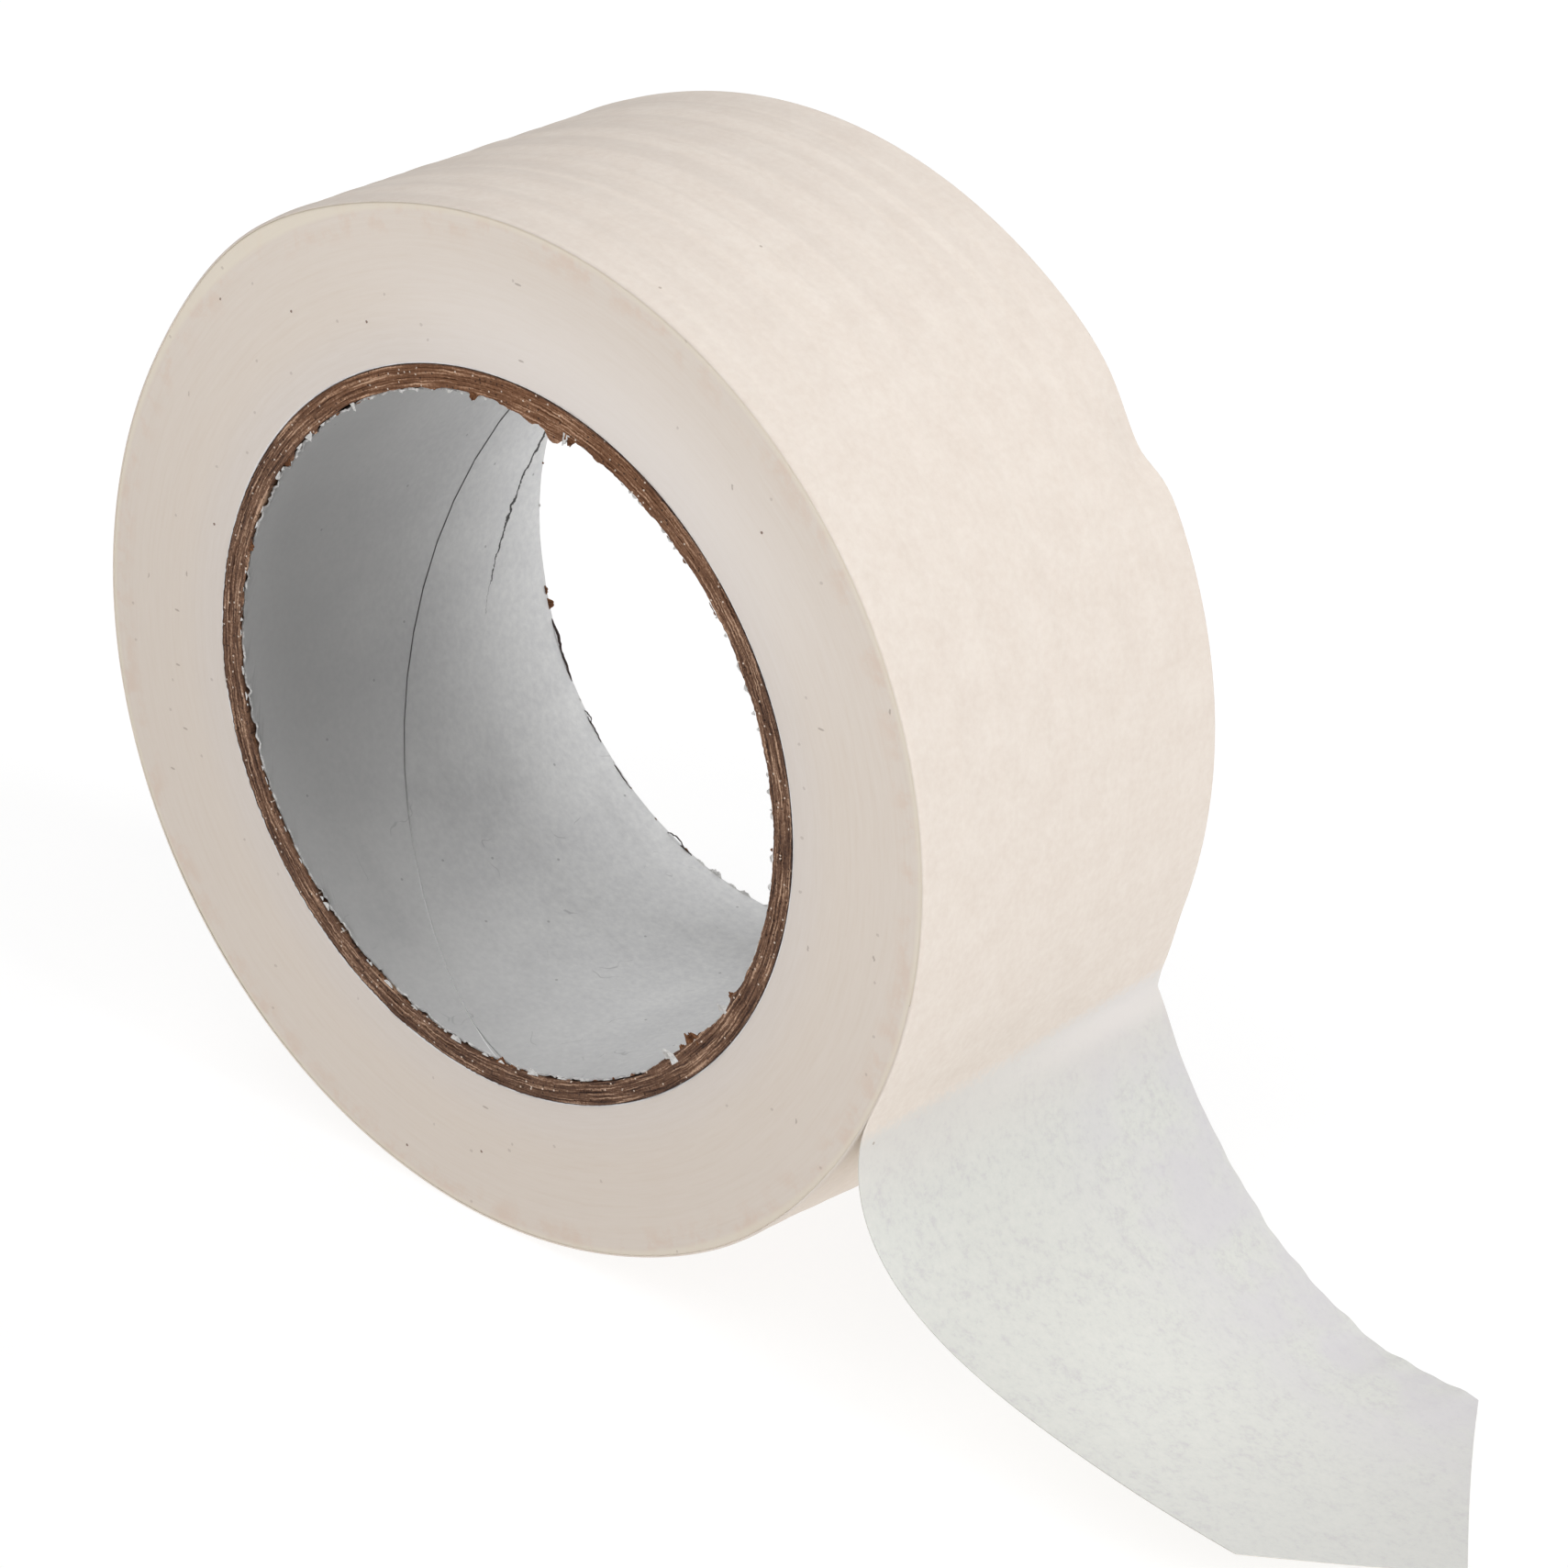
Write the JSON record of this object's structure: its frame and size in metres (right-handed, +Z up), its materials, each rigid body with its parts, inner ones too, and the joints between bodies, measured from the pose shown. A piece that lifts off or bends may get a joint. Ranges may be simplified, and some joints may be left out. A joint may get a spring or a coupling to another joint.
{
  "type": "masking tape roll",
  "caption": "Roll of crepe paper masking tape on a laminated paper core, standing on its rim with a loose tail peeled off, for masking edges when painting.",
  "frame": {"origin": "middle of the core's bore, on the roll's axis, half way between the two side faces", "axes": "+Y along the roll's axis, away from the near side face; +Z up, so the roll stands on its rim; +X towards the side where the tail leaves"},
  "size_m": [0.1782, 0.048, 0.1164],
  "materials": {
    "liner_paper": "matt white paper, grey in the shade, rough where it is torn",
    "kraft_paper": "matt brown kraft paper with a fibrous cut edge",
    "wound_tape": "smooth slit edge of many tape turns, cream with faint rings",
    "adhesive": "clear tacky natural rubber adhesive, slightly yellow",
    "crepe_paper": "matt cream crepe paper, thin enough to let light through"
  },
  "bodies": {
    "roll": {"core_liner": "liner_paper", "core_ply_1": "kraft_paper", "core_ply_2": "kraft_paper", "core_ply_3": "kraft_paper", "core_ply_4": "kraft_paper", "core_ply_5": "kraft_paper", "winding": "wound_tape"},
    "outer_turn": {"outer_turn_adhesive": "adhesive", "outer_turn_backing": "crepe_paper"},
    "tail": {"tail_adhesive": "adhesive", "tail_backing": "crepe_paper"}
  },
  "joints": [
    {"name": "unwind", "type": "hinge", "parent": "roll", "child": "outer_turn", "pos_m": [0, 0, 0], "axis": [0, -1, 0], "continuous": true},
    {"name": "tail_lift", "type": "hinge", "parent": "outer_turn", "child": "tail", "pos_m": [0.05262, 0, -0.02567], "axis": [0, -1, 0], "range_deg": [0, 110]}
  ]
}
